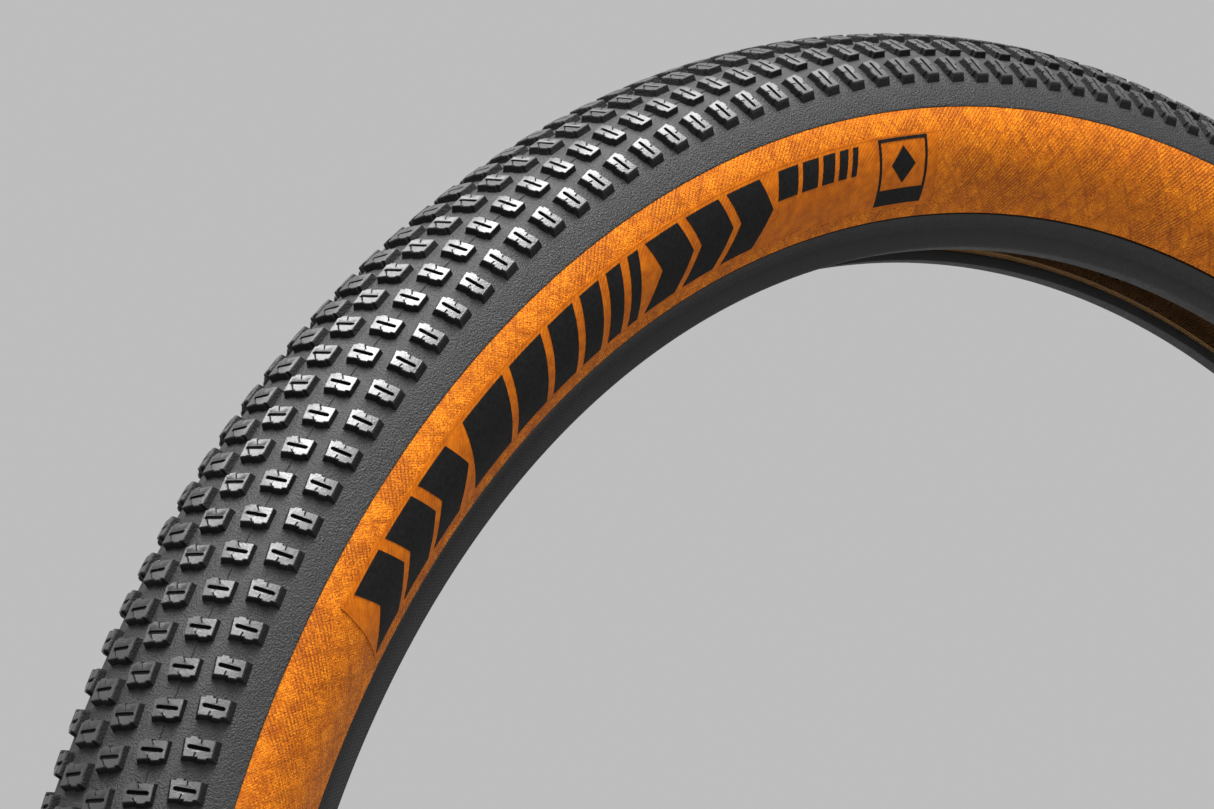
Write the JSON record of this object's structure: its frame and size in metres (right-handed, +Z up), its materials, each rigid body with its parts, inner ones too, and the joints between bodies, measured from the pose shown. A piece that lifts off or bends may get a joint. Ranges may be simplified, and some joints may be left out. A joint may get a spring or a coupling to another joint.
{
  "type": "bicycle tyre",
  "caption": "Round bicycle tyre with a low-block black tread, amber woven sidewalls and wire beads, open inside for a tube and rim.",
  "frame": {"origin": "the wheel's centre, on the tyre's centre plane", "axes": "+Y along the wheel's axle towards the right sidewall, +Z up, +X towards the wheel's rear"},
  "size_m": [0.6814, 0.0568, 0.6814],
  "materials": {
    "tread_rubber": "matt moulded, fine pebble grain",
    "shoulder_rubber": "matt moulded, fine pebble grain",
    "amber_rubber": "satin gum over a bias weave",
    "label_film": "smooth satin film with black print",
    "rim_strip": "rubbered square weave",
    "belt_cord": "woven aramid",
    "casing_cord": "rubbered bias cord",
    "bead_steel": "bronzed wire",
    "filler_rubber": "matt"
  },
  "bodies": {
    "root": {"tread_centre": "tread_rubber", "tread_shoulder_left": "shoulder_rubber", "tread_shoulder_right": "shoulder_rubber", "sidewall_left": "amber_rubber", "sidewall_right": "amber_rubber", "label_left": "label_film", "label_right": "label_film", "rim_strip_left": "rim_strip", "rim_strip_right": "rim_strip", "puncture_belt": "belt_cord", "casing_ply_outer": "casing_cord", "casing_ply_inner": "casing_cord", "bead_wire_left": "bead_steel", "bead_wire_right": "bead_steel", "bead_filler_left": "filler_rubber", "bead_filler_right": "filler_rubber"}
  },
  "joints": []
}
